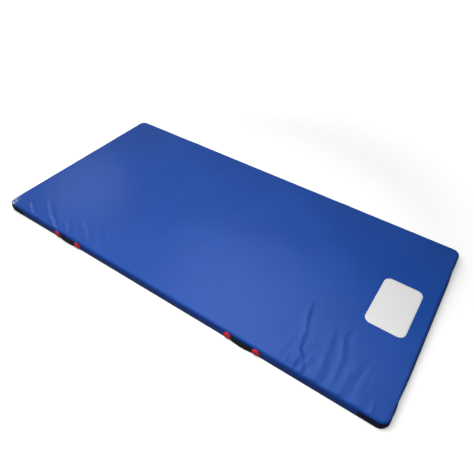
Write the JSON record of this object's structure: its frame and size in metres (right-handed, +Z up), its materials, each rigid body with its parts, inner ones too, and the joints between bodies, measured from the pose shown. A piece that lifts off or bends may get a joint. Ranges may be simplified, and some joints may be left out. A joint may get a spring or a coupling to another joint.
{
  "type": "crash landing mat",
  "caption": "Flat rectangular landing mat: a foam core in a sewn vinyl cover with webbing side handles, corner guards and a zipped end.",
  "frame": {"origin": "middle of the underside, where the mat rests on the floor", "axes": "+X along the length towards the label, +Y across the width towards the back long side, +Z up"},
  "size_m": [2.0056, 1.015, 0.0509],
  "materials": {
    "pvc_blue": "satin",
    "pvc_black": "matte",
    "guard_black": "satin",
    "webbing_black": "matte",
    "patch_red": "gloss",
    "label_white": "satin",
    "foam_soft": "matte",
    "foam_firm": "matte",
    "zip_tape": "matte",
    "zip_teeth": "satin",
    "zip_metal": "polished"
  },
  "bodies": {
    "mat": {"top_panel": "pvc_blue", "front_wall": "pvc_blue", "back_wall": "pvc_blue", "right_end_wall": "pvc_blue", "left_end_wall_upper": "pvc_blue", "left_end_wall_lower": "pvc_blue", "base_panel": "pvc_black", "foam_core_soft": "foam_soft", "foam_core_firm": "foam_firm", "corner_guard_front_left": "guard_black", "corner_guard_front_right": "guard_black", "corner_guard_back_left": "guard_black", "corner_guard_back_right": "guard_black", "front_left_handle_left_end": "webbing_black", "front_left_handle_left_patch": "patch_red", "front_left_handle_right_end": "webbing_black", "front_left_handle_right_patch": "patch_red", "front_left_handle_backing": "pvc_black", "front_right_handle_left_end": "webbing_black", "front_right_handle_left_patch": "patch_red", "front_right_handle_right_end": "webbing_black", "front_right_handle_right_patch": "patch_red", "front_right_handle_backing": "pvc_black", "back_left_handle_left_end": "webbing_black", "back_left_handle_left_patch": "patch_red", "back_left_handle_right_end": "webbing_black", "back_left_handle_right_patch": "patch_red", "back_left_handle_backing": "pvc_black", "back_right_handle_left_end": "webbing_black", "back_right_handle_left_patch": "patch_red", "back_right_handle_right_end": "webbing_black", "back_right_handle_right_patch": "patch_red", "back_right_handle_backing": "pvc_black", "zip_tape_upper": "zip_tape", "zip_teeth_upper": "zip_teeth", "zip_tape_lower": "zip_tape", "zip_teeth_lower": "zip_teeth", "zip_end_tab_front": "guard_black", "zip_end_tab_back": "guard_black", "label_patch": "label_white"},
    "front_left_grip": {"front_left_handle_strap": "webbing_black"},
    "front_right_grip": {"front_right_handle_strap": "webbing_black"},
    "back_left_grip": {"back_left_handle_strap": "webbing_black"},
    "back_right_grip": {"back_right_handle_strap": "webbing_black"},
    "zip_slider": {"zip_slider": "zip_metal"},
    "zip_pull": {"zip_pull": "zip_metal"}
  },
  "joints": [
    {"name": "front_left_grip_pull", "type": "slide", "parent": "mat", "child": "front_left_grip", "axis": [0, -1, 0], "range_m": [0, 0.006]},
    {"name": "front_right_grip_pull", "type": "slide", "parent": "mat", "child": "front_right_grip", "axis": [0, -1, 0], "range_m": [0, 0.006]},
    {"name": "back_left_grip_pull", "type": "slide", "parent": "mat", "child": "back_left_grip", "axis": [0, 1, 0], "range_m": [0, 0.006]},
    {"name": "back_right_grip_pull", "type": "slide", "parent": "mat", "child": "back_right_grip", "axis": [0, 1, 0], "range_m": [0, 0.006]},
    {"name": "zip_slide", "type": "slide", "parent": "mat", "child": "zip_slider", "axis": [0, 1, 0], "range_m": [0, 0.69]},
    {"name": "zip_pull_flip", "type": "hinge", "parent": "zip_slider", "child": "zip_pull", "pos_m": [-1.0021, -0.348, 0.0235], "axis": [0, 0, 1], "range_deg": [0, 170]}
  ]
}
